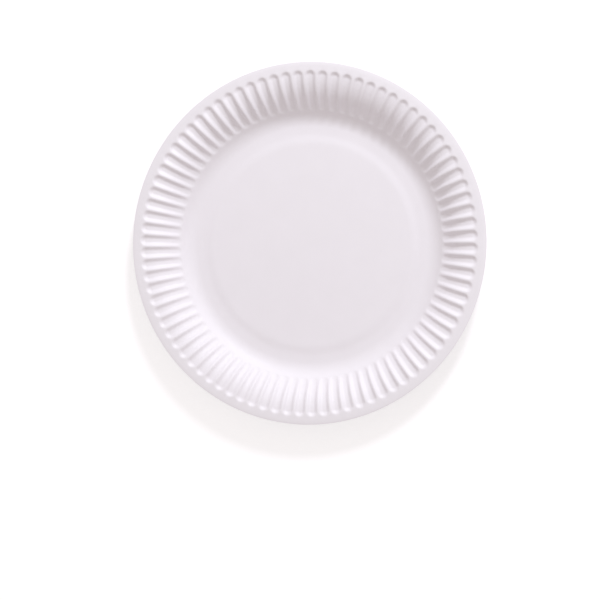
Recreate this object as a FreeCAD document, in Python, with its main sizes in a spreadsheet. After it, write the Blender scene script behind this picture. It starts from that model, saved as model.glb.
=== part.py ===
"""A fluted paper plate: one sheet of paperboard pressed to shape, with no joints.

Millimetres, +Z up along the plate's axis. The origin is the centre of the ring that the plate rests on.
The section, from the axis outwards: a flat centre panel, a shallow step down to the foot ring, the bend up
into the wall, the straight wall, the roll-over, and a flat lip cut off square at the rim. Flutes are pressed
down into the rim, from the lip's inner edge over the roll-over to part way down the wall, and show as ribs
on the underside, because the board keeps its thickness.
"""

import FreeCAD
import Part

import math
import os

import Sketcher

SIZES = (
    ("plate_diameter", 230.0, "across the rim"),
    ("plate_height", 17.8, "resting face to the top of the lip"),
    ("board_thickness", 0.4, "of the pressed paperboard"),
    ("lip_width", 5.2, "flat lip outside the flutes"),
    ("rollover_radius", 25.0, "top skin, from the lip down into the wall"),
    ("wall_angle", 43.0, "degrees, between the wall and the floor"),
    ("plain_wall", 2.5, "along the slope, smooth wall between the flutes and the foot bend"),
    ("foot_bend_radius", 13.5, "top skin, from the wall into the foot ring"),
    ("foot_ring_width", 5.8, "flat ring that the plate rests on"),
    ("panel_rise", 0.6, "centre panel above the foot ring"),
    ("riser_run", 3.4, "across the step up to the centre panel"),
    ("flute_count", 84.0, "flutes round the rim"),
    ("flute_depth", 1.6, "pressed down at a flute's outer end"),
    ("flute_inner_depth", 1.05, "pressed down at a flute's inner end"),
    ("flute_end_length", 2.0, "along the slope, over which each end of a flute rises out"),
    ("flute_end_share", 0.5, "a flute's blunt end, as a share of the pitch"),
    ("crest_share", 0.28, "the flat crest between two flutes, as a share of the pitch"),
    ("trough_share", 0.3, "a flute's flat bottom, as a share of the pitch"),
    ("flute_phase", 2.0, "degrees, from +X to the middle of a flute"),
)
FLUTE_BANDS = 3
BEND_BANDS = 4

ORIGIN = FreeCAD.Vector(0, 0, 0)
UP = FreeCAD.Vector(0, 0, 1)


def add_sizes(doc):
    """Adds the sheet of driving dimensions, one row each: name, value, meaning."""
    sheet = doc.addObject("Spreadsheet::Sheet", "sizes")
    for row, (name, value, meaning) in enumerate(SIZES, start=1):
        sheet.set(f"A{row}", name)
        sheet.set(f"B{row}", str(value))
        sheet.set(f"C{row}", meaning)
        sheet.setAlias(f"B{row}", name)
    doc.recompute()
    return sheet


class Section:
    """Places on the section line of the top skin: x is the radius, y the height above the floor."""

    def __init__(self, sheet):
        """Works the places out from the sheet, first from the rim inwards, then from the wall's foot."""
        self.slope = math.radians(sheet.wall_angle)
        self.rim = sheet.plate_diameter / 2
        self.top = sheet.plate_height
        self.floor = sheet.board_thickness
        self.roll = sheet.rollover_radius
        self.bend = sheet.foot_bend_radius
        self.lip = self.rim - sheet.lip_width
        self.roll_centre = place(self.lip, self.top - self.roll)
        self.wall_top = self.roll_centre + turned(self.roll, math.pi / 2 + self.slope)

        wall_foot_height = self.floor + self.bend * (1 - math.cos(self.slope))
        wall_length = (self.wall_top.y - wall_foot_height) / math.sin(self.slope)
        self.wall_foot = self.wall_top - turned(wall_length, self.slope)
        self.flute_foot = self.wall_foot + turned(sheet.plain_wall, self.slope)
        self.roll_length = self.roll * self.slope
        self.flute_length = self.roll_length + wall_length - sheet.plain_wall

        self.foot_outer = self.wall_foot.x - self.bend * math.sin(self.slope)
        self.foot_inner = self.foot_outer - sheet.foot_ring_width
        self.bend_centre = place(self.foot_outer, self.floor + self.bend)
        self.panel_edge = place(self.foot_inner - sheet.riser_run, self.floor + sheet.panel_rise)

    def on_slope(self, along, depth):
        """The point that far along the slope from the lip's inner edge, pressed in square to the slope."""
        turn = min(along, self.roll_length) / self.roll
        straight = max(0.0, along - self.roll_length)
        return self.roll_centre + turned(self.roll - depth, math.pi / 2 + turn) - turned(straight, turn)


def place(radius, height):
    """A point of the section's plane."""
    return FreeCAD.Vector(radius, height, 0)


def turned(length, angle):
    """A vector of the section's plane, by its length and its angle from the radius."""
    return FreeCAD.Vector(length * math.cos(angle), length * math.sin(angle), 0)


def add_section_line(doc, sheet, section):
    """Adds the sketch of the top skin's section line, from the axis to the rim, bound to the sheet."""
    sketch = doc.addObject("Sketcher::SketchObject", "section_line")
    sketch.Placement = FreeCAD.Placement(ORIGIN, FreeCAD.Rotation(FreeCAD.Vector(1, 0, 0), 90))
    up = math.pi / 2

    def arc(centre, radius, first, last):
        return sketch.addGeometry(Part.ArcOfCircle(Part.Circle(centre, UP, radius), first, last), False)

    def line(first, last):
        return sketch.addGeometry(Part.LineSegment(first, last), False)

    panel = line(place(0, section.panel_edge.y), section.panel_edge)
    riser = line(section.panel_edge, place(section.foot_inner, section.floor))
    foot = line(place(section.foot_inner, section.floor), place(section.foot_outer, section.floor))
    bend = arc(section.bend_centre, section.bend, -up, section.slope - up)
    plain = line(section.wall_foot, section.flute_foot)
    wall = line(section.flute_foot, section.wall_top)
    roll = arc(section.roll_centre, section.roll, up, up + section.slope)
    lip = line(place(section.lip, section.top), place(section.rim, section.top))

    start, end = 1, 2
    root, axis = (-1, 1), -2
    corners = (
        (panel, end, riser, start),
        (riser, end, foot, start),
    )
    for corner in corners:
        sketch.addConstraint(Sketcher.Constraint("Coincident", *corner))
    joints = (
        (foot, end, bend, start),
        (bend, end, plain, start),
        (plain, end, wall, start),
        (wall, end, roll, end),
        (roll, start, lip, start),
    )
    for joint in joints:
        sketch.addConstraint(Sketcher.Constraint("Tangent", *joint))
    sketch.addConstraint(Sketcher.Constraint("PointOnObject", panel, start, axis))
    sketch.addConstraint(Sketcher.Constraint("Horizontal", panel))
    sketch.addConstraint(Sketcher.Constraint("Horizontal", foot))

    def drive(name, expression, kind, *where):
        number = sketch.addConstraint(Sketcher.Constraint(kind, *where))
        sketch.renameConstraint(number, name)
        sketch.setExpression(f"Constraints.{name}", expression)

    drive("panel_rise", "sizes.panel_rise * 1 mm", "DistanceY", riser, end, riser, start, sheet.panel_rise)
    drive("riser_run", "sizes.riser_run * 1 mm", "DistanceX", riser, start, riser, end, sheet.riser_run)
    drive("floor_height", "sizes.board_thickness * 1 mm", "DistanceY", *root, foot, start, section.floor)
    drive("foot_ring", "sizes.foot_ring_width * 1 mm", "DistanceX", foot, start, foot, end,
          sheet.foot_ring_width)
    drive("bend_radius", "sizes.foot_bend_radius * 1 mm", "Radius", bend, section.bend)
    drive("wall_slope", "sizes.wall_angle * 1 deg", "Angle", plain, section.slope)
    drive("plain_length", "sizes.plain_wall * 1 mm", "Distance", plain, sheet.plain_wall)
    drive("roll_radius", "sizes.rollover_radius * 1 mm", "Radius", roll, section.roll)
    drive("lip_height", "sizes.plate_height * 1 mm", "DistanceY", *root, lip, end, section.top)
    drive("lip_run", "sizes.lip_width * 1 mm", "DistanceX", lip, start, lip, end, sheet.lip_width)
    drive("rim_radius", "sizes.plate_diameter * 0.5 mm", "DistanceX", *root, lip, end, section.rim)
    return sketch, (panel, foot, bend, plain)


def lowered(curve, depth):
    """The section's curve moved down, square to itself."""
    if isinstance(curve, Part.LineSegment):
        along = curve.EndPoint - curve.StartPoint
        down = FreeCAD.Vector(along.y, -along.x, 0).normalize() * depth
        return Part.LineSegment(curve.StartPoint + down, curve.EndPoint + down)
    first, last = curve.FirstParameter, curve.LastParameter
    hollow = curve.value((first + last) / 2).y < curve.Center.y
    radius = curve.Radius + depth if hollow else curve.Radius - depth
    return Part.ArcOfCircle(Part.Circle(curve.Center, UP, radius), first, last)


def chords(arc, count):
    """Equal straight pieces that follow the arc."""
    first = arc.FirstParameter
    band = (arc.LastParameter - first) / count
    places = [arc.value(first + band * number) for number in range(count + 1)]
    return [Part.LineSegment(start, end) for start, end in zip(places, places[1:])]


def spun(curve, placement):
    """The face that the section's curve sweeps round the axis."""
    edge = curve.toShape()
    edge.Placement = placement
    return edge.revolve(ORIGIN, UP, 360)


class Flutes:
    """The fluted ring of one skin of the board, as facets between stations down the slope."""

    def __init__(self, sheet, section, skin):
        """Keeps the sizes; the skin is the depth under the top skin, square to the slope."""
        self.section = section
        self.skin = skin
        self.count = round(sheet.flute_count)
        self.pitch = 2 * math.pi / self.count
        self.phase = math.radians(sheet.flute_phase)
        self.length = section.flute_length
        self.outer = sheet.flute_end_length
        self.inner = self.length - sheet.flute_end_length
        self.depths = (sheet.flute_depth, sheet.flute_inner_depth)
        self.blunt = sheet.flute_end_share / 2
        self.crest = 0.5 - sheet.crest_share / 2
        self.trough = sheet.trough_share / 2

    def stations(self):
        """Even distances down the slope at which a flute has its full section."""
        band = (self.inner - self.outer) / FLUTE_BANDS
        return [self.outer + band * number for number in range(FLUTE_BANDS + 1)]

    def point(self, number, along, share, pressed):
        """A point by its share of the pitch from the middle of a flute, on the crest or pressed in."""
        depth = self.skin
        if pressed:
            run = (along - self.outer) / (self.inner - self.outer)
            depth += self.depths[0] + run * (self.depths[1] - self.depths[0])
        spot = self.section.on_slope(along, depth)
        angle = self.phase + (number + share) * self.pitch
        return FreeCAD.Vector(spot.x * math.cos(angle), spot.x * math.sin(angle), spot.y)

    def bow(self, number, first, last):
        """The arc of the plain wall between two shares of the pitch, at the flutes' inner ends."""
        spots = [self.point(number, self.length, share, False) for share in (first, (first + last) / 2, last)]
        return Part.Arc(*spots).toBSpline().toShape()

    def lip_edge(self):
        """The corners, round the ring, where the flutes' outer ends meet the flat lip."""
        shares = (-self.blunt, self.blunt)
        return [self.point(number, 0.0, share, False) for number in range(self.count) for share in shares]

    def flute(self, number):
        """The facets of one flute, with the crest that follows it."""
        crest, trough, next_crest = self.crest, self.trough, 1 - self.crest
        faces = []
        places = self.stations()
        for upper, lower in zip(places, places[1:]):
            def spot(along, share, pressed):
                return self.point(number, along, share, pressed)

            faces.append(facet(
                spot(upper, -trough, True), spot(upper, trough, True),
                spot(lower, trough, True), spot(lower, -trough, True)))
            faces.append(facet(
                spot(upper, crest, False), spot(upper, next_crest, False),
                spot(lower, next_crest, False), spot(lower, crest, False)))
            for side in (-1, 1):
                faces.append(Part.makeRuledSurface(
                    Part.makeLine(spot(upper, side * crest, False), spot(lower, side * crest, False)),
                    Part.makeLine(spot(upper, side * trough, True), spot(lower, side * trough, True))))
        faces += self.outer_end(number, places[0]) + self.inner_end(number, places[-1])
        for tip, full in ((0.0, places[0]), (self.length, places[-1])):
            faces += self.blunt_corners(number, tip, full)
        return faces

    def outer_end(self, number, full):
        """The flat facets between a flute's full section and the lip, and beside them for the crest."""
        shares = ((-self.blunt, self.blunt, self.trough, -self.trough, True),
                  (self.blunt, 1 - self.blunt, 1 - self.crest, self.crest, False))
        return [
            facet(self.point(number, 0.0, first, False), self.point(number, 0.0, last, False),
                  self.point(number, full, below_last, pressed), self.point(number, full, below_first, pressed))
            for first, last, below_last, below_first, pressed in shares]

    def inner_end(self, number, full):
        """The ruled faces between a flute's full section and the wall, and beside them for the crest."""
        crest, trough, blunt = self.crest, self.trough, self.blunt

        def across(first, last, pressed):
            return Part.makeLine(self.point(number, full, first, pressed), self.point(number, full, last, pressed))

        return [
            Part.makeRuledSurface(self.bow(number, -blunt, blunt), across(-trough, trough, True)),
            Part.makeRuledSurface(self.bow(number, blunt, 1 - blunt), across(crest, 1 - crest, False)),
        ]

    def blunt_corners(self, number, tip, full):
        """The two triangles at the sides of a flute's blunt end."""
        crest, trough, blunt = self.crest, self.trough, self.blunt
        faces = []
        for side in (-1, 1):
            faces.append(facet(
                self.point(number, tip, side * blunt, False),
                self.point(number, full, side * crest, False),
                self.point(number, full, side * trough, True)))
        return faces

    def faces(self):
        """The facets of the whole ring."""
        return [face for number in range(self.count) for face in self.flute(number)]


def facet(*corners):
    """A flat face between three corners, or four that lie in one plane."""
    return Part.Face(Part.makePolygon([*corners, corners[0]]))


def lip_face(section, flutes, skin):
    """The flat lip, from the rim's circle in to the flutes' outer ends."""
    rim = Part.Wire(Part.makeCircle(section.rim, FreeCAD.Vector(0, 0, section.top - skin)))
    corners = flutes.lip_edge()
    edge = Part.makePolygon([*corners, corners[0]])
    return Part.makeFace([rim, edge], "Part::FaceMakerBullseye")


def add_plate(doc, sheet, section, sketch, plain_parts):
    """Adds the plate: both skins and the cut rim, sewn to one closed sheet.

    The foot bend is laid in short cones. The plain wall's cone is turned to splines, so that its rim matches
    the flutes' spline ends piece by piece.
    """
    thickness = sheet.board_thickness
    faces = []
    for skin in (0.0, thickness):
        flutes = Flutes(sheet, section, skin)
        faces += flutes.faces()
        faces.append(lip_face(section, flutes, skin))
    for skin in (0.0, thickness):
        panel, foot, bend, wall = (lowered(sketch.Geometry[part], skin) for part in plain_parts)
        riser = Part.LineSegment(panel.EndPoint, foot.StartPoint)
        faces += [spun(curve, sketch.Placement) for curve in (panel, riser, foot, *chords(bend, BEND_BANDS))]
        faces.append(spun(wall, sketch.Placement).toNurbs())
    rim_top = place(section.rim, section.top)
    faces.append(spun(Part.LineSegment(rim_top, rim_top - place(0, thickness)), sketch.Placement))

    skins = Part.makeCompound(faces)
    skins.sewShape()
    solid = Part.Solid(skins.Shells[0])
    if solid.Volume < 0:
        solid.reverse()
    plate = doc.addObject("Part::Feature", "paper_plate")
    plate.Label = "paper_plate"
    plate.Shape = solid
    plate.Placement = FreeCAD.Placement()
    return plate


def check(doc, parts):
    """Stops if any object failed or a part is not one sound closed solid."""
    for item in doc.Objects:
        if {"Invalid", "Error"} & set(item.State):
            raise RuntimeError(f"{item.Label} failed: {item.State}")
    for part in parts:
        shape = part.Shape
        if shape.isNull() or not shape.isValid() or not shape.isClosed() or len(shape.Solids) != 1:
            raise RuntimeError(f"{part.Label} is not one sound closed solid")


def main():
    """Builds the document and writes each part's solid."""
    doc = FreeCAD.newDocument("paper_plate")
    sheet = add_sizes(doc)
    section = Section(sheet)
    sketch, plain_parts = add_section_line(doc, sheet, section)
    doc.recompute()
    parts = [add_plate(doc, sheet, section, sketch, plain_parts)]
    doc.recompute()
    check(doc, parts)

    os.makedirs("parts", exist_ok=True)
    for part in parts:
        part.Shape.exportStep(f"parts/{part.Label}.step")
        print(f"{part.Label}: {len(part.Shape.Faces)} faces, {part.Shape.Volume / 1000:.2f} ml")


main()
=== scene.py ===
"""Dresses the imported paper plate: its pressed board and rounded flutes, paper finish, light and camera.

Metres throughout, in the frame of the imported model: +Z up along the plate's axis, the origin in the middle
of the ring that the plate rests on.
"""

from __future__ import annotations

import logging
import math
from collections.abc import Sequence
from dataclasses import dataclass, field
from enum import Enum
from itertools import pairwise

import bpy
import numpy as np
from mathutils import Matrix, Vector

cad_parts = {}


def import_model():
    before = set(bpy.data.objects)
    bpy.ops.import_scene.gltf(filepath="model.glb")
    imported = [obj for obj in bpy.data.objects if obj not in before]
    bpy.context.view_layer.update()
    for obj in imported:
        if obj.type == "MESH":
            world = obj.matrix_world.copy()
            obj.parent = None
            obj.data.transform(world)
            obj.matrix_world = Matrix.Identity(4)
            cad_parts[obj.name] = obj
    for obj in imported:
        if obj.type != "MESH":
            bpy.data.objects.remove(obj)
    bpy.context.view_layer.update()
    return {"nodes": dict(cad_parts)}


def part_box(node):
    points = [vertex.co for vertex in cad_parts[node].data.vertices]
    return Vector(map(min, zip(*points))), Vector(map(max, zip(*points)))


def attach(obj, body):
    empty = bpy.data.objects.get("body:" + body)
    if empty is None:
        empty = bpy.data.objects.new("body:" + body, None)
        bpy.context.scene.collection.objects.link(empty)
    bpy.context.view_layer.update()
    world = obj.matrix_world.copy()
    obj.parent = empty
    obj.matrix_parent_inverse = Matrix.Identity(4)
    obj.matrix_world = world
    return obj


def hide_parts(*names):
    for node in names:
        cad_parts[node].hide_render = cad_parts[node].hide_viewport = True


LOG = logging.getLogger("paper_plate")
NODE = "paper_plate"
BODY = "root"
MILLIMETRE = 0.001


class Skin(Enum):
    """The two faces of the board."""

    TOP = "top"
    UNDER = "under"


@dataclass(frozen=True)
class Section:
    """The top skin's line from the rim inwards, laid out by its slope against the distance along it."""

    rim: float
    top: float
    board: float = 0.4 * MILLIMETRE
    lip_width: float = 5.2 * MILLIMETRE
    rollover_radius: float = 25.0 * MILLIMETRE
    wall_slope: float = math.radians(43)
    plain_wall: float = 2.5 * MILLIMETRE
    outer_shoulder: float = 0.45 * MILLIMETRE
    inner_shoulder: float = 2.3 * MILLIMETRE
    foot_bend_radius: float = 13.5 * MILLIMETRE
    foot_ring_width: float = 5.8 * MILLIMETRE
    riser_run: float = 3.4 * MILLIMETRE
    riser_spread: float = 2.8
    panel_rise: float = 0.6 * MILLIMETRE
    step: float = 0.01 * MILLIMETRE

    @property
    def rollover(self) -> float:
        """Length of the roll-over along the skin."""
        return self.rollover_radius * self.wall_slope

    @property
    def wall(self) -> float:
        """Length of the straight wall: what is left of the height, over the sine of the slope."""
        bends = (self.rollover_radius + self.foot_bend_radius) * (1 - math.cos(self.wall_slope))
        return (self.top - self.board - bends) / math.sin(self.wall_slope)

    @property
    def flute_start(self) -> float:
        """Distance from the rim at which the flutes' soft outer ends begin."""
        return self.lip_width - self.outer_shoulder

    @property
    def flute_end(self) -> float:
        """Distance from the rim at which the flutes' soft inner ends run out, just above the wall's foot."""
        return self.lip_width + self.rollover + self.wall - self.plain_wall + self.inner_shoulder

    @property
    def foot_bend(self) -> float:
        """Length of the bend at the wall's foot along the skin."""
        return self.foot_bend_radius * self.wall_slope

    @property
    def riser(self) -> float:
        """Length of the soft step up to the centre panel, wider than the same step with sharp corners."""
        return self.riser_spread * self.riser_run

    @property
    def riser_start(self) -> float:
        """Distance at which the soft step leaves the foot ring."""
        ring = self.lip_width + self.rollover + self.wall + self.foot_bend + self.foot_ring_width
        return ring + (self.riser_run - self.riser) / 2

    @property
    def panel_start(self) -> float:
        """Distance at which the flat centre panel begins."""
        return self.riser_start + self.riser

    def slope(self, along: np.ndarray) -> np.ndarray:
        """Slope of the skin, in radians down towards the axis.

        Nothing on the lip, a steady rise over the roll-over, the wall's slope, a steady fall over the foot
        bend, nothing on the ring, then minus one wave of a raised cosine up the step to the panel.

        Args:
            along: Distances from the rim along the skin.

        Returns:
            The slope at each distance.
        """
        marks = np.cumsum([self.lip_width, self.rollover, self.wall, self.foot_bend])
        plain = np.interp(along, marks, [0.0, self.wall_slope, self.wall_slope, 0.0])
        share = np.clip((along - self.riser_start) / self.riser, 0.0, 1.0)
        steepest = 2 * self.panel_rise / self.riser
        return plain - steepest * 0.5 * (1 - np.cos(2 * math.pi * share))

    def places(self, along: np.ndarray) -> np.ndarray:
        """Radius, height and slope at distances from the rim.

        The radius is the rim less the running sum of the slope's cosine, and the height is the top less the
        running sum of its sine.

        Args:
            along: Distances from the rim along the skin.

        Returns:
            An array of rows (radius, height, slope).
        """
        fine = np.arange(0.0, self.rim, self.step)
        slope = self.slope(fine + self.step / 2)
        inwards = np.concatenate([[0.0], np.cumsum(np.cos(slope))[:-1]]) * self.step
        down = np.concatenate([[0.0], np.cumsum(np.sin(slope))[:-1]]) * self.step
        radius = self.rim - np.interp(along, fine, inwards)
        height = self.top - np.interp(along, fine, down)
        return np.stack([radius, height, self.slope(along)], axis=-1)


@dataclass(frozen=True)
class Flutes:
    """The flutes pressed down into the rim, each with a rounded trough and U-shaped ends."""

    start: float
    end: float
    count: int = 84
    phase: float = math.radians(2.0)
    deepest: float = 1.5 * MILLIMETRE
    fading: float = 0.98
    fading_power: float = 3.5
    outer_tightness: float = 0.95
    inner_tightness: float = 0.9
    trough_share: float = 0.15
    reach_share: float = 0.95
    flank_lean: float = 1.3

    def depth(self, places: np.ndarray, along: np.ndarray, turn: np.ndarray) -> np.ndarray:
        """How far the skin is pressed in.

        Half a wave of a cosine against the distance from the flute's middle line, between its flat trough
        and the reach of its flank. The wave leans outwards, which leaves a wide trough and a narrow ridge.
        Past the two arch centres the distance is taken from the centre itself, which rounds the ends. The
        depth fades with a high power of the way down the flute.

        Args:
            places: Rows (radius, height, slope) of the section, one for each distance.
            along: Distances from the rim along the skin.
            turn: Angles round the axis, as shares of the pitch from a flute's middle, from -0.5 to 0.5.

        Returns:
            Depths, one row for each distance and one column for each angle.
        """
        half = math.pi * places[:, 0] / self.count
        run = along - self.start
        outer_centre = half * self.reach_share / self.outer_tightness
        inner_centre = self.end - self.start - half * self.reach_share / self.inner_tightness
        past_outer = (outer_centre - run) * self.outer_tightness
        past_inner = (run - inner_centre) * self.inner_tightness
        beyond = np.maximum(np.maximum(past_outer, past_inner) / half, 0.0)[:, None]
        away = np.hypot(2 * turn[None, :], beyond)
        flank = np.clip((away - self.trough_share) / (self.reach_share - self.trough_share), 0.0, 1.0)
        share = np.clip(run / (self.end - self.start), 0.0, 1.0)[:, None]
        deepest = self.deepest * (1 - self.fading * share**self.fading_power)
        return deepest * 0.5 * (1 + np.cos(math.pi * flank**self.flank_lean))


@dataclass(frozen=True)
class PaperBoard:
    """White paperboard with a faint cool tint: soft fibre clouds, fine fibre bump and a low sheen."""

    name: str = "paperboard"
    light_tint: tuple[float, float, float] = (0.840, 0.795, 0.840)
    dark_tint: tuple[float, float, float] = (0.828, 0.783, 0.827)
    roughness: float = 0.52
    specular_level: float = 0.35
    cloud_scale: float = 55.0
    cloud_detail: float = 5.0
    dark_stop: float = 0.3
    light_stop: float = 0.7
    fibre_scale: float = 1500.0
    fibre_detail: float = 3.0
    waviness_scale: float = 38.0
    waviness_detail: float = 1.0
    fibre_height: float = 0.012 * MILLIMETRE
    waviness_height: float = 0.03 * MILLIMETRE

    def material(self) -> bpy.types.Material:
        """Builds the node material.

        Returns:
            The new material.
        """
        made = bpy.data.materials.new(self.name)
        made.use_nodes = True
        nodes, links = made.node_tree.nodes, made.node_tree.links
        shader = nodes["Principled BSDF"]
        shader.inputs["Roughness"].default_value = self.roughness
        shader.inputs["Specular IOR Level"].default_value = self.specular_level
        place = nodes.new("ShaderNodeTexCoord").outputs["Object"]

        clouds = self._noise(nodes, links, place, self.cloud_scale, self.cloud_detail)
        tint = nodes.new("ShaderNodeValToRGB")
        stops = ((self.dark_tint, self.dark_stop), (self.light_tint, self.light_stop))
        for element, (colour, position) in zip(tint.color_ramp.elements, stops):
            element.color = (*colour, 1.0)
            element.position = position
        links.new(clouds, tint.inputs["Fac"])
        links.new(tint.outputs["Color"], shader.inputs["Base Color"])

        fibres = self._noise(nodes, links, place, self.fibre_scale, self.fibre_detail)
        waves = self._noise(nodes, links, place, self.waviness_scale, self.waviness_detail)
        fine = self._bump(nodes, links, fibres, self.fibre_height, None)
        broad = self._bump(nodes, links, waves, self.waviness_height, fine)
        links.new(broad, shader.inputs["Normal"])
        return made

    @staticmethod
    def _noise(
        nodes: bpy.types.Nodes,
        links: bpy.types.NodeLinks,
        place: bpy.types.NodeSocket,
        scale: float,
        detail: float,
    ) -> bpy.types.NodeSocket:
        """Adds a noise at object coordinates.

        Args:
            nodes: The material's nodes.
            links: The material's links.
            place: The socket of the coordinates.
            scale: Cells of the noise in a metre.
            detail: Octaves of the noise.

        Returns:
            The socket of the noise, from 0 to 1.
        """
        noise = nodes.new("ShaderNodeTexNoise")
        noise.inputs["Scale"].default_value = scale
        noise.inputs["Detail"].default_value = detail
        links.new(place, noise.inputs["Vector"])
        return noise.outputs["Fac"]

    @staticmethod
    def _bump(
        nodes: bpy.types.Nodes,
        links: bpy.types.NodeLinks,
        height: bpy.types.NodeSocket,
        distance: float,
        below: bpy.types.NodeSocket | None,
    ) -> bpy.types.NodeSocket:
        """Adds a bump on top of another one.

        Args:
            nodes: The material's nodes.
            links: The material's links.
            height: The socket of the height, from 0 to 1.
            distance: The height that 1 stands for.
            below: The normal of the bump beneath, if there is one.

        Returns:
            The socket of the new normal.
        """
        bump = nodes.new("ShaderNodeBump")
        bump.inputs["Strength"].default_value = 1.0
        bump.inputs["Distance"].default_value = distance
        links.new(height, bump.inputs["Height"])
        if below is not None:
            links.new(below, bump.inputs["Normal"])
        return bump.outputs["Normal"]


@dataclass
class Lattice:
    """A growing surface: rings of points round the axis, and the polygons between them."""

    points: list[np.ndarray] = field(default_factory=list)
    polygons: list[list[int]] = field(default_factory=list)
    size: int = 0

    def ring(self, points: np.ndarray) -> np.ndarray:
        """Adds a ring of points.

        Args:
            points: Rows (x, y, z).

        Returns:
            The numbers of the new points.
        """
        numbers = np.arange(self.size, self.size + len(points))
        self.points.append(points)
        self.size += len(points)
        return numbers

    def join(self, first: np.ndarray, second: np.ndarray) -> None:
        """Closes the strip between two rings, of which one may have a whole number of times more points.

        Each polygon takes one edge of the coarser ring and the run of finer edges that faces it; with equal
        rings it is a quad. It runs with the first ring and back along the second, which lies to its left.

        Args:
            first: Numbers of the points of one ring.
            second: Numbers of the points of the next.
        """
        coarse = min(len(first), len(second))
        runs = []
        for ring in (first, second):
            steps = len(ring) // coarse
            starts = np.arange(coarse)[:, None] * steps
            runs.append(ring[(starts + np.arange(steps + 1)) % len(ring)])
        self.polygons += np.concatenate([runs[0], runs[1][:, ::-1]], axis=1).tolist()

    def cap(self, ring: np.ndarray) -> None:
        """Closes the middle of a flat ring with one polygon, whose points run as the ring's do."""
        self.polygons.append(ring.tolist())

    def object(self, name: str) -> bpy.types.Object:
        """Makes the Blender object, smooth all over.

        Args:
            name: Name of the object.

        Returns:
            The new object, at the origin.
        """
        mesh = bpy.data.meshes.new(name)
        mesh.from_pydata(np.concatenate(self.points), [], self.polygons)
        mesh.shade_smooth()
        made = bpy.data.objects.new(name, mesh)
        bpy.context.scene.collection.objects.link(made)
        return made


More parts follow.
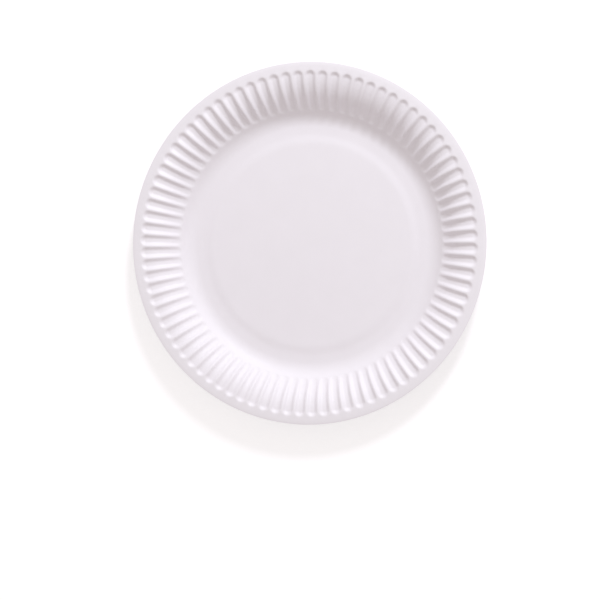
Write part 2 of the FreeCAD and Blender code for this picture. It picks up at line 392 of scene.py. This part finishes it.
@dataclass
class Plate:
    """The one pressed sheet: both skins, the cut rim between them, and the paper finish."""

    section: Section
    flutes: Flutes
    board: PaperBoard
    steps_a_flute: int = 14
    edge_round: float = 0.1 * MILLIMETRE
    edge_rows: int = 3
    lip_rows: int = 2
    inner_pitch_share: float = 0.78
    end_rows: int = 10
    middle_rows: int = 10
    wall_rows: int = 3
    bend_rows: int = 8
    ring_rows: int = 1
    riser_rows: int = 9
    wall_thinning: int = 4
    panel_thinning: tuple[int, ...] = (3, 7)

    def skin_points(self, places: np.ndarray, along: np.ndarray, columns: int, skin: Skin) -> np.ndarray:
        """Points of one skin at rows of the section and even columns round the axis.

        Each point is the section's, moved down square to the slope by the flute's depth and, under the
        board, by its thickness too; then it is turned round the axis.

        Args:
            places: Rows (radius, height, slope) of the section.
            along: The rows' distances from the rim.
            columns: Points round the axis, a whole number to a flute or a few flutes to one.
            skin: Which face of the board.

        Returns:
            An array of (row, column, xyz).
        """
        turn = np.arange(columns) / columns
        share = (turn * self.flutes.count + 0.5) % 1.0 - 0.5
        down = self.flutes.depth(places, along, share)
        if skin is Skin.UNDER:
            down = down + self.section.board
        radius, height, slope = places.T[:, :, None]
        radius = radius + down * np.sin(slope)
        height = height - down * np.cos(slope)
        angle = self.flutes.phase + 2 * math.pi * turn[None, :]
        return np.stack([radius * np.cos(angle), radius * np.sin(angle), height], axis=-1)

    def fluted_rows(self) -> np.ndarray:
        """Distances of the rows from the rim to the flutes' inner ends, close together at both ends.

        The close rows cover the length of each end: half the rim's pitch over the end's tightness, and at
        the inner end only a share of that, because the pitch is smaller there.

        Returns:
            The distances.
        """
        start, end = self.flutes.start, self.flutes.end
        near = math.pi * self.section.rim / self.flutes.count
        outer_reach = near / self.flutes.outer_tightness
        inner_reach = near * self.inner_pitch_share / self.flutes.inner_tightness
        lip = np.linspace(self.edge_round, start, self.lip_rows + 1)[:-1]
        outer = start + np.linspace(0.0, outer_reach, self.end_rows + 1)
        inner = end - np.linspace(inner_reach, 0.0, self.end_rows + 1)
        middle = np.linspace(outer[-1], inner[0], self.middle_rows + 1)[1:-1]
        return np.concatenate([lip, outer, middle, inner])

    def plain_rows(self) -> np.ndarray:
        """Distances of the rows from below the flutes to the edge of the centre panel.

        Returns:
            The distances.
        """
        section = self.section
        wall_foot = section.lip_width + section.rollover + section.wall
        ring = wall_foot + section.foot_bend
        marks = (
            (self.flutes.end, wall_foot, self.wall_rows),
            (wall_foot, ring, self.bend_rows),
            (ring, section.riser_start, self.ring_rows),
            (section.riser_start, section.panel_start, self.riser_rows),
        )
        return np.concatenate([np.linspace(first, last, rows + 1)[1:] for first, last, rows in marks])

    def add_skin(self, lattice: Lattice, skin: Skin) -> list[np.ndarray]:
        """Adds the rings of one skin, with fewer points to a ring below the flutes and on the centre panel.

        Args:
            lattice: The surface to add to.
            skin: Which face of the board.

        Returns:
            The numbers of each ring's points, from the rim to the middle of the centre panel.
        """
        section = self.section
        fluted = self.flutes.count * self.steps_a_flute
        plain = fluted // self.wall_thinning
        rings = []
        for rows, columns in ((self.fluted_rows(), fluted), (self.plain_rows(), plain)):
            grid = self.skin_points(section.places(rows), rows, columns, skin)
            rings += [lattice.ring(points) for points in grid]
        edge = section.places(np.array([section.panel_start]))
        past_flutes = np.array([section.rim])
        shares = np.linspace(1.0, 0.0, len(self.panel_thinning) + 2)[1:-1]
        columns = plain
        for share, thinning in zip(shares, self.panel_thinning):
            columns //= thinning
            inner = edge * np.array([share, 1.0, 0.0])
            rings.append(lattice.ring(self.skin_points(inner, past_flutes, columns, skin)[0]))
        return rings

    def add_rim(self, lattice: Lattice) -> list[np.ndarray]:
        """Adds the rings of the cut edge: a quarter circle at the top, and one at the bottom.

        Args:
            lattice: The surface to add to.

        Returns:
            The numbers of each ring's points, from the top skin to the underside.
        """
        columns = self.flutes.count * self.steps_a_flute
        turn = np.linspace(0.0, math.pi / 2, self.edge_rows + 1)[1:]
        out = self.section.rim - self.edge_round * (1 - np.sin(turn))
        down = self.edge_round * (1 - np.cos(turn))
        radius = np.concatenate([out, out[::-1]])
        height = self.section.top - np.concatenate([down, self.section.board - down[::-1]])
        angle = self.flutes.phase + 2 * math.pi * np.arange(columns) / columns
        circle = np.stack([np.cos(angle), np.sin(angle), np.zeros_like(angle)], axis=-1)
        grid = radius[:, None, None] * circle + height[:, None, None] * np.array([0.0, 0.0, 1.0])
        return [lattice.ring(points) for points in grid]

    def build(self) -> bpy.types.Object:
        """Builds the closed board, from the top's middle out over the rim and back to the middle below.

        Returns:
            The dressed object, riding on the plate's body in place of its solid.
        """
        lattice = Lattice()
        top = self.add_skin(lattice, Skin.TOP)
        rim = self.add_rim(lattice)
        under = self.add_skin(lattice, Skin.UNDER)
        rings = [*top[::-1], *rim, *under]
        for inner, outer in pairwise(rings):
            lattice.join(outer, inner)
        lattice.cap(rings[0])
        lattice.cap(rings[-1][::-1])
        made = lattice.object("pressed_board")
        made.data.materials.append(self.board.material())
        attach(made, BODY)
        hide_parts(NODE)
        return made


@dataclass(frozen=True)
class Floor:
    """A wide pale floor, which the camera sees white with the plate's soft shadow.

    Its own white rises with the distance from the plate, as the lamp's light falls.
    """

    half_width: float = 6.0
    tint: tuple[float, float, float] = (0.80, 0.80, 0.80)
    shadow_tint: tuple[float, float, float] = (0.52, 0.49, 0.51)
    near_white: float = 0.62
    far_white: float = 0.76
    near: float = 0.3
    far: float = 1.5

    def build(self) -> bpy.types.Object:
        """Builds the floor.

        Returns:
            The floor.
        """
        half = self.half_width
        corners = half * np.array([[-1, -1, 0], [1, -1, 0], [1, 1, 0], [-1, 1, 0]], dtype=float)
        mesh = bpy.data.meshes.new("floor")
        mesh.from_pydata(corners, [], [[0, 1, 2, 3]])
        made = bpy.data.objects.new("floor", mesh)
        bpy.context.scene.collection.objects.link(made)
        mesh.materials.append(self.material())
        return made

    def material(self) -> bpy.types.Material:
        """Builds the floor's material: plain for the light, and mixed with white for the camera.

        Returns:
            The new material.
        """
        made = bpy.data.materials.new("floor")
        made.use_nodes = True
        nodes, links = made.node_tree.nodes, made.node_tree.links
        nodes.clear()
        plain = nodes.new("ShaderNodeBsdfDiffuse")
        plain.inputs["Color"].default_value = (*self.tint, 1.0)
        shaded = nodes.new("ShaderNodeBsdfDiffuse")
        shaded.inputs["Color"].default_value = (*self.shadow_tint, 1.0)
        glow = nodes.new("ShaderNodeEmission")
        self._rising_white(nodes, links, glow.inputs["Strength"])
        seen = nodes.new("ShaderNodeAddShader")
        links.new(shaded.outputs["BSDF"], seen.inputs[0])
        links.new(glow.outputs["Emission"], seen.inputs[1])
        choice = nodes.new("ShaderNodeMixShader")
        links.new(seen_by_eye(nodes, links), choice.inputs["Fac"])
        links.new(plain.outputs["BSDF"], choice.inputs[1])
        links.new(seen.outputs["Shader"], choice.inputs[2])
        links.new(choice.outputs["Shader"], nodes.new("ShaderNodeOutputMaterial").inputs["Surface"])
        return made

    def _rising_white(
        self,
        nodes: bpy.types.Nodes,
        links: bpy.types.NodeLinks,
        strength: bpy.types.NodeSocket,
    ) -> None:
        """Sets the glow by the distance from the origin, in an even rise from the near to the far white.

        Args:
            nodes: The material's nodes.
            links: The material's links.
            strength: The glow's socket.
        """
        away = nodes.new("ShaderNodeVectorMath")
        away.operation = "LENGTH"
        links.new(nodes.new("ShaderNodeTexCoord").outputs["Object"], away.inputs[0])
        rise = nodes.new("ShaderNodeMapRange")
        for name, value in (
            ("From Min", self.near),
            ("From Max", self.far),
            ("To Min", self.near_white),
            ("To Max", self.far_white),
        ):
            rise.inputs[name].default_value = value
        links.new(away.outputs["Value"], rise.inputs["Value"])
        links.new(rise.outputs["Result"], strength)


def seen_by_eye(nodes: bpy.types.Nodes, links: bpy.types.NodeLinks) -> bpy.types.NodeSocket:
    """Adds the nodes that tell the camera's own, glossy and transmitted rays from those that light.

    Args:
        nodes: The tree's nodes.
        links: The tree's links.

    Returns:
        The socket that is 1 for the camera's, glossy and transmitted rays, and 0 for the rest.
    """
    path = nodes.new("ShaderNodeLightPath")
    total = path.outputs["Is Camera Ray"]
    for name in ("Is Glossy Ray", "Is Transmission Ray"):
        either = nodes.new("ShaderNodeMath")
        either.operation = "MAXIMUM"
        links.new(total, either.inputs[0])
        links.new(path.outputs[name], either.inputs[1])
        total = either.outputs["Value"]
    return total


@dataclass(frozen=True)
class Studio:
    """Plain studio light: one soft lamp from the upper right of the view, and an even pale world."""

    lamp_direction: float = math.radians(67.0)
    lamp_elevation: float = math.radians(36.5)
    lamp_distance: float = 1.5
    lamp_size: float = 0.3
    lamp_power: float = 13.7
    lamp_tint: tuple[float, float, float] = (0.935, 1.005, 1.06)
    ambient: float = 0.603
    ambient_tint: tuple[float, float, float] = (1.045, 0.99, 0.955)
    background: float = 1.0

    def build(self) -> None:
        """Adds the lamp and the world."""
        light = bpy.data.lights.new("soft_lamp", "AREA")
        light.shape = "DISK"
        light.size = self.lamp_size
        light.energy = self.lamp_power
        light.color = self.lamp_tint
        lamp = bpy.data.objects.new("soft_lamp", light)
        bpy.context.scene.collection.objects.link(lamp)
        towards = Vector(
            (
                math.cos(self.lamp_elevation) * math.cos(self.lamp_direction),
                math.cos(self.lamp_elevation) * math.sin(self.lamp_direction),
                math.sin(self.lamp_elevation),
            )
        )
        lamp.location = towards * self.lamp_distance
        lamp.rotation_euler = towards.to_track_quat("Z", "Y").to_euler()
        self._world()

    def _world(self) -> None:
        """Builds the world: even pale light, and white where the camera sees it."""
        world = bpy.data.worlds.new("studio")
        bpy.context.scene.world = world
        world.use_nodes = True
        nodes, links = world.node_tree.nodes, world.node_tree.links
        nodes.clear()
        even = nodes.new("ShaderNodeBackground")
        even.inputs["Strength"].default_value = self.ambient
        white = nodes.new("ShaderNodeBackground")
        white.inputs["Strength"].default_value = self.background
        for shade, tint in ((even, self.ambient_tint), (white, (1.0, 1.0, 1.0))):
            shade.inputs["Color"].default_value = (*tint, 1.0)
        choice = nodes.new("ShaderNodeMixShader")
        links.new(seen_by_eye(nodes, links), choice.inputs["Fac"])
        links.new(even.outputs["Background"], choice.inputs[1])
        links.new(white.outputs["Background"], choice.inputs[2])
        links.new(choice.outputs["Shader"], nodes.new("ShaderNodeOutputWorld").inputs["Surface"])


@dataclass(frozen=True)
class Viewpoint:
    """The camera: high above the plate and to its right, aimed below its middle.

    The lens is shifted up part of the way back, so the plate shows a little above the picture's middle.
    """

    tilt: float = math.radians(13.134)
    towards: float = math.radians(9.194)
    distance: float = 0.9
    aim_x: float = -3.02 * MILLIMETRE
    aim_y: float = -60.97 * MILLIMETRE
    lens: float = 84.794
    shift_y: float = 0.06667
    turn: float = math.radians(-0.5)

    def build(self, height: float) -> bpy.types.Object:
        """Adds the camera, with +Y up in the picture but for a slight turn, and makes it the scene's.

        Args:
            height: Height of the plane that the camera aims at.

        Returns:
            The camera.
        """
        data = bpy.data.cameras.new("camera")
        data.lens = self.lens
        data.shift_y = self.shift_y
        camera = bpy.data.objects.new("camera", data)
        bpy.context.scene.collection.objects.link(camera)
        back = Vector(
            (
                math.sin(self.tilt) * math.cos(self.towards),
                math.sin(self.tilt) * math.sin(self.towards),
                math.cos(self.tilt),
            )
        )
        up = (Vector((0.0, 1.0, 0.0)) - back * back.y).normalized()
        turned = Matrix((up.cross(back), up, back)).transposed().to_4x4()
        aim = Vector((self.aim_x, self.aim_y, height))
        placed = Matrix.Translation(aim + back * self.distance) @ turned
        camera.matrix_world = Matrix.Rotation(self.turn, 4, "Z") @ placed
        bpy.context.scene.camera = camera
        return camera


def main() -> None:
    """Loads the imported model, builds the plate around it, and sets the stage."""
    logging.basicConfig(level=logging.INFO, format="%(name)s: %(message)s")
    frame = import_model()
    low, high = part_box(NODE)
    LOG.info("packed model with the nodes %s", sorted(frame["nodes"]))

    scene = bpy.context.scene
    scene.view_settings.view_transform = "Standard"
    section = Section(rim=(high[0] - low[0]) / 2, top=high[2])
    flutes = Flutes(start=section.flute_start, end=section.flute_end)
    plate = Plate(section=section, flutes=flutes, board=PaperBoard()).build()
    LOG.info("%s: %d points, %d faces", plate.name, len(plate.data.vertices), len(plate.data.polygons))

    Floor().build()
    Studio().build()
    Viewpoint().build(section.top)


if __name__ == "__main__":
    main()
